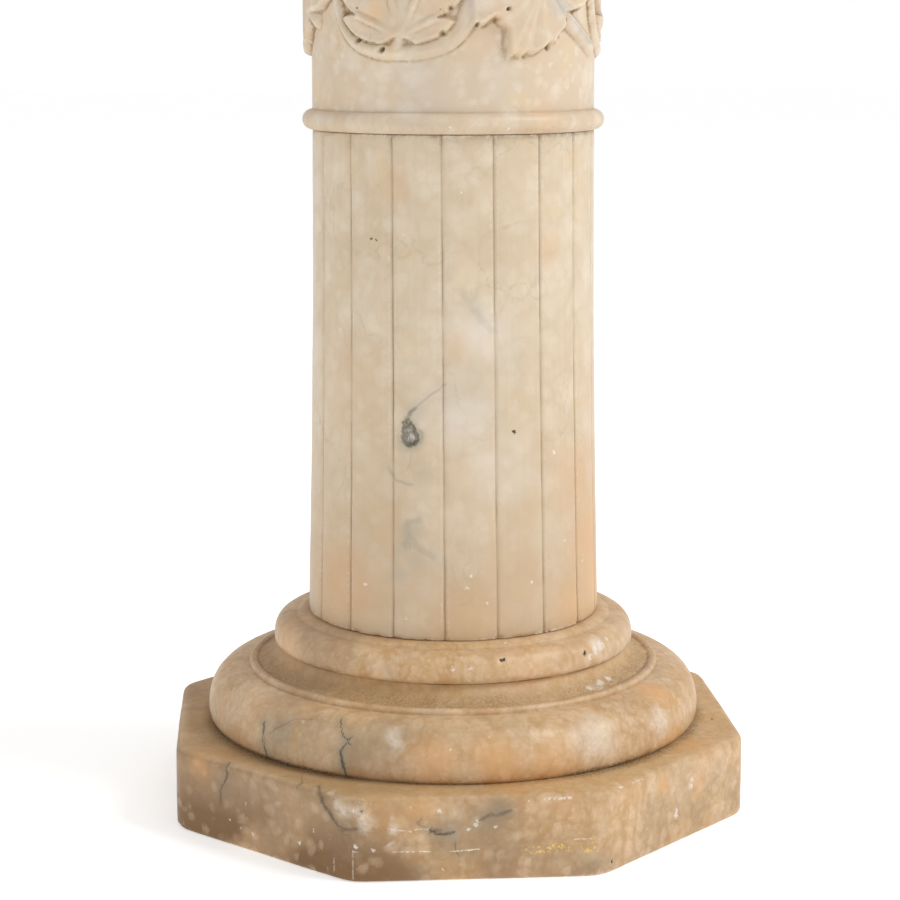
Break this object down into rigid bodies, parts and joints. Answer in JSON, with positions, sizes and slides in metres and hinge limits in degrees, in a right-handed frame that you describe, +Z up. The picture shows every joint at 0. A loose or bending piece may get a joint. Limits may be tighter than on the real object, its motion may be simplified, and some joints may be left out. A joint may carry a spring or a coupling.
{
  "type": "alabaster column",
  "caption": "Alabaster column: octagonal plinth with an attic base, reeded shafts, a drum carved with a scrolling vine between them, and an octagonal capital.",
  "frame": {"origin": "centre of the plinth's underside, on the surface that the column stands on", "axes": "+Z up along the column's axis, -Y towards the plinth's front flat, +X to the right seen from the front"},
  "size_m": [0.305, 0.305, 0.8745],
  "materials": {
    "base_alabaster": "honey brown alabaster with grey veins, dull polish, worn edges and dirt in the hollows",
    "shaft_alabaster": "cream alabaster with cloudy mottling, soft polish, dirt in the grooves",
    "drum_alabaster": "cream alabaster, soft polish, brown dirt in the drilled notches of the carving",
    "capital_alabaster": "warm cream alabaster, soft polish"
  },
  "bodies": {
    "root": {"base": "base_alabaster", "lower_shaft": "shaft_alabaster", "carved_drum": "drum_alabaster", "upper_shaft": "shaft_alabaster", "capital": "capital_alabaster"}
  },
  "joints": []
}
